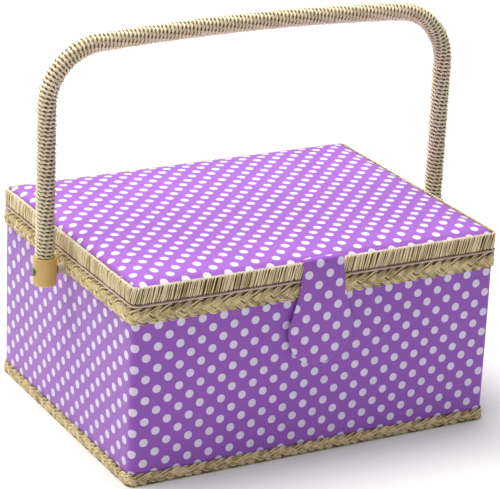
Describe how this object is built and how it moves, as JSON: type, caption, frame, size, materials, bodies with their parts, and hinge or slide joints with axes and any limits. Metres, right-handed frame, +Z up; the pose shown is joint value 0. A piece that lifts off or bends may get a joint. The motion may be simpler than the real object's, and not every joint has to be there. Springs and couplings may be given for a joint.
{
  "type": "sewing box with trays",
  "caption": "Rectangular fabric sewing box with a padded hinged lid, plaited trims, a closing tab, lift-out trays and a straw-wrapped swing handle on side pivots.",
  "frame": {"origin": "middle of the footprint, on the surface that the box stands on", "axes": "+X along the front, which faces -Y; +Z up"},
  "size_m": [0.3746, 0.2522, 0.3258],
  "materials": {
    "dotted_fabric": "woven cotton with light dots",
    "lining_fabric": "plain woven cotton",
    "base_paper": "matt embossed paper",
    "board": "grey bookbinding board",
    "batten": "plain sawn batten",
    "braid": "plaited seagrass",
    "straw": "twisted straw cord",
    "brown_cord": "fine twisted cord",
    "foam": "soft foam",
    "pincushion_fabric": "velvet",
    "elastic": "gathered elastic hem",
    "stiffener": "thin card",
    "magnet": "plated disc",
    "core": "peeled cane",
    "amber_cap": "translucent honey plastic",
    "spacer": "ivory plastic",
    "steel": "zinc plated",
    "brass": "plain brass",
    "tray_plastic": "moulded semi-clear plastic",
    "divider_plastic": "moulded plastic"
  },
  "bodies": {
    "box": {"back_panel": "board", "base_braid": "braid", "base_cover": "base_paper", "bottom_board": "board", "box_magnet": "magnet", "floor_lining": "lining_fabric", "front_panel": "board", "handle_nut_left": "steel", "handle_nut_right": "steel", "handle_screw_left": "steel", "handle_screw_right": "steel", "handle_spacer_left": "spacer", "handle_spacer_right": "spacer", "handle_washer_left": "steel", "handle_washer_right": "steel", "hinge_box_leaf_left": "brass", "hinge_box_leaf_right": "brass", "hinge_pin_left": "brass", "hinge_pin_right": "brass", "hinge_screws_box": "brass", "ledge_back": "batten", "ledge_front": "batten", "left_panel": "board", "outer_cover": "dotted_fabric", "right_panel": "board", "rim_braid": "braid", "wall_lining": "lining_fabric"},
    "lid": {"hinge_lid_leaf_left": "brass", "hinge_lid_leaf_right": "brass", "hinge_screws_lid": "brass", "lid_band": "straw", "lid_band_cord": "brown_cord", "lid_board": "board", "lid_cover": "dotted_fabric", "lid_foam": "foam", "lid_lining": "lining_fabric", "lid_pocket": "lining_fabric", "lid_rail_back": "batten", "lid_rail_front": "batten", "lid_rail_left": "batten", "lid_rail_right": "batten", "pincushion": "pincushion_fabric", "pocket_elastic": "elastic"},
    "tab": {"tab_cover": "dotted_fabric", "tab_backing": "dotted_fabric", "tab_stiffener": "stiffener", "tab_magnet": "magnet"},
    "handle": {"handle_core": "core", "handle_wrap": "straw", "handle_cap_left": "amber_cap", "handle_cap_right": "amber_cap"},
    "left tray": {"tray_left": "tray_plastic", "tray_left_divider_front": "divider_plastic", "tray_left_divider_rear": "divider_plastic"},
    "right tray": {"tray_right": "tray_plastic", "tray_right_divider_front": "divider_plastic", "tray_right_divider_rear": "divider_plastic"}
  },
  "joints": [
    {"name": "lid_hinge", "type": "hinge", "parent": "box", "child": "lid", "pos_m": [0, 0.1245, 0.1456], "axis": [-1, 0, 0], "range_deg": [0, 100]},
    {"name": "handle_swing", "type": "hinge", "parent": "box", "child": "handle", "pos_m": [0, 0, 0.135], "axis": [-1, 0, 0], "range_deg": [0, 110]},
    {"name": "tab_lift", "type": "hinge", "parent": "lid", "child": "tab", "pos_m": [0, -0.1216, 0.1629], "axis": [-1, 0, 0], "range_deg": [0, 80]},
    {"name": "left_tray_lift", "type": "slide", "parent": "box", "child": "left tray", "axis": [0, 0, 1], "range_m": [0, 0.015]},
    {"name": "right_tray_lift", "type": "slide", "parent": "box", "child": "right tray", "axis": [0, 0, 1], "range_m": [0, 0.015]}
  ],
  "couplings": [
    {"joint": "handle_swing", "follows": "lid_hinge", "ratio": 1.1}
  ]
}
